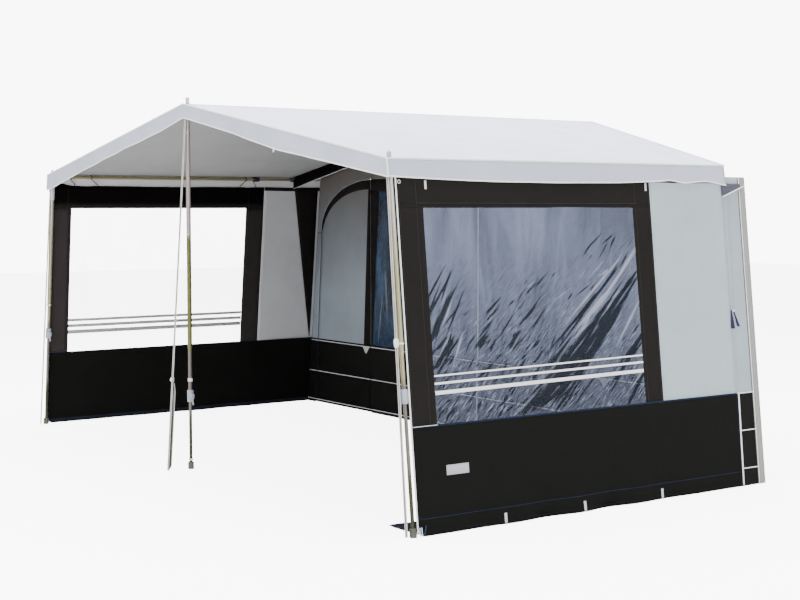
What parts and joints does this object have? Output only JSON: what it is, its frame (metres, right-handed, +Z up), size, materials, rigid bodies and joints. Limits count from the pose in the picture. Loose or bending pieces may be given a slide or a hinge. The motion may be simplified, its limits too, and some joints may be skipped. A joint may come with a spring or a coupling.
{
  "type": "caravan awning",
  "caption": "Gabled fabric awning on telescopic poles, with splayed windowed side walls, a rear wall with arched doors, and storm straps.",
  "frame": {"origin": "on the ground, at the middle of the awning's length and width", "axes": "+X to the awning's right, across its front; +Y from the open front to the rear wall; +Z up"},
  "size_m": [5.1632, 3.751, 2.462],
  "materials": {
    "roof_cloth": "coated woven polyester, pale grey with a blue tint, matt",
    "valance_cloth": "woven polyester with white piping along both edges",
    "grey_cloth": "woven polyester, light grey, matt",
    "dark_cloth": "woven polyester, charcoal, matt",
    "black_cloth": "coated skirt cloth, black, slight sheen",
    "window_film": "clear PVC film with a blue tint and creases",
    "steel": "plated steel tube, dull",
    "grey_plastic": "moulded grey nylon",
    "webbing": "woven webbing, off-white"
  },
  "bodies": {
    "awning": {"front_centre_clamp": "grey_plastic", "front_centre_strap": "webbing", "front_centre_upper_pole": "steel", "front_left_clamp": "grey_plastic", "front_left_rafter": "steel", "front_left_strap": "webbing", "front_left_upper_pole": "steel", "front_left_valance": "valance_cloth", "front_right_clamp": "grey_plastic", "front_right_rafter": "steel", "front_right_strap": "webbing", "front_right_upper_pole": "steel", "front_right_valance": "valance_cloth", "left_eave_clamp": "grey_plastic", "left_eave_pole": "steel", "left_rear_panel": "grey_cloth", "left_rear_strip": "grey_cloth", "left_roof": "roof_cloth", "left_skirt": "black_cloth", "left_valance": "valance_cloth", "left_window": "window_film", "left_window_panel": "dark_cloth", "rear_left_clamp": "grey_plastic", "rear_left_rafter": "steel", "rear_left_upper_pole": "steel", "rear_right_clamp": "grey_plastic", "rear_right_rafter": "steel", "rear_right_upper_pole": "steel", "rear_skirt": "black_cloth", "rear_wall": "grey_cloth", "rear_window": "window_film", "ridge_pole_front": "steel", "ridge_pole_rear": "steel", "right_eave_clamp": "grey_plastic", "right_eave_pole": "steel", "right_rear_panel": "grey_cloth", "right_rear_strip": "grey_cloth", "right_roof": "roof_cloth", "right_skirt": "black_cloth", "right_valance": "valance_cloth", "right_window": "window_film", "right_window_panel": "dark_cloth"},
    "front_left_lower_leg": {"front_left_lower_pole": "steel", "front_left_foot": "grey_plastic"},
    "front_left_lever": {"front_left_clamp_lever": "grey_plastic"},
    "front_centre_lower_leg": {"front_centre_lower_pole": "steel", "front_centre_foot": "grey_plastic"},
    "front_centre_lever": {"front_centre_clamp_lever": "grey_plastic"},
    "front_right_lower_leg": {"front_right_lower_pole": "steel", "front_right_foot": "grey_plastic"},
    "front_right_lever": {"front_right_clamp_lever": "grey_plastic"},
    "rear_left_lower_leg": {"rear_left_lower_pole": "steel", "rear_left_foot": "grey_plastic"},
    "rear_left_lever": {"rear_left_clamp_lever": "grey_plastic"},
    "rear_right_lower_leg": {"rear_right_lower_pole": "steel", "rear_right_foot": "grey_plastic"},
    "rear_right_lever": {"rear_right_clamp_lever": "grey_plastic"},
    "left_door_flap": {"left_door": "grey_cloth"},
    "right_door_flap": {"right_door": "grey_cloth"},
    "buckle": {"strap_buckle": "grey_plastic"}
  },
  "joints": [
    {"name": "front_left_leg_slide", "type": "slide", "parent": "awning", "child": "front_left_lower_leg", "axis": [0.1093, 0, 0.994], "range_m": [-0.25, 0.3]},
    {"name": "front_left_lever_hinge", "type": "hinge", "parent": "awning", "child": "front_left_lever", "pos_m": [-2.43685, -1.7045, 0.73672], "axis": [0, -1, 0], "range_deg": [0, 120]},
    {"name": "front_centre_leg_slide", "type": "slide", "parent": "awning", "child": "front_centre_lower_leg", "axis": [0, 0, 1], "range_m": [-0.25, 0.3]},
    {"name": "front_centre_lever_hinge", "type": "hinge", "parent": "awning", "child": "front_centre_lever", "pos_m": [0.03, -1.7045, 0.49], "axis": [0, -1, 0], "range_deg": [0, 120]},
    {"name": "front_right_leg_slide", "type": "slide", "parent": "awning", "child": "front_right_lower_leg", "axis": [-0.1093, 0, 0.994], "range_m": [-0.25, 0.3]},
    {"name": "front_right_lever_hinge", "type": "hinge", "parent": "awning", "child": "front_right_lever", "pos_m": [2.43685, -1.7045, 0.73672], "axis": [0, 1, 0], "range_deg": [0, 120]},
    {"name": "rear_left_leg_slide", "type": "slide", "parent": "awning", "child": "rear_left_lower_leg", "axis": [0.1093, 0, 0.994], "range_m": [-0.25, 0.3]},
    {"name": "rear_left_lever_hinge", "type": "hinge", "parent": "awning", "child": "rear_left_lever", "pos_m": [-2.43685, 0.8173, 0.73672], "axis": [0, -1, 0], "range_deg": [0, 120]},
    {"name": "rear_right_leg_slide", "type": "slide", "parent": "awning", "child": "rear_right_lower_leg", "axis": [-0.1093, 0, 0.994], "range_m": [-0.25, 0.3]},
    {"name": "rear_right_lever_hinge", "type": "hinge", "parent": "awning", "child": "rear_right_lever", "pos_m": [2.43685, 0.8173, 0.73672], "axis": [0, 1, 0], "range_deg": [0, 120]},
    {"name": "left_door_hinge", "type": "hinge", "parent": "awning", "child": "left_door_flap", "pos_m": [-1.55, 0.7945, 0], "axis": [0, 0, 1], "range_deg": [0, 100]},
    {"name": "right_door_hinge", "type": "hinge", "parent": "awning", "child": "right_door_flap", "pos_m": [1.55, 0.7945, 0], "axis": [0, 0, -1], "range_deg": [0, 100]},
    {"name": "buckle_slide", "type": "slide", "parent": "awning", "child": "buckle", "axis": [0, 0.0655, 0.9979], "range_m": [-0.15, 0.15]}
  ]
}
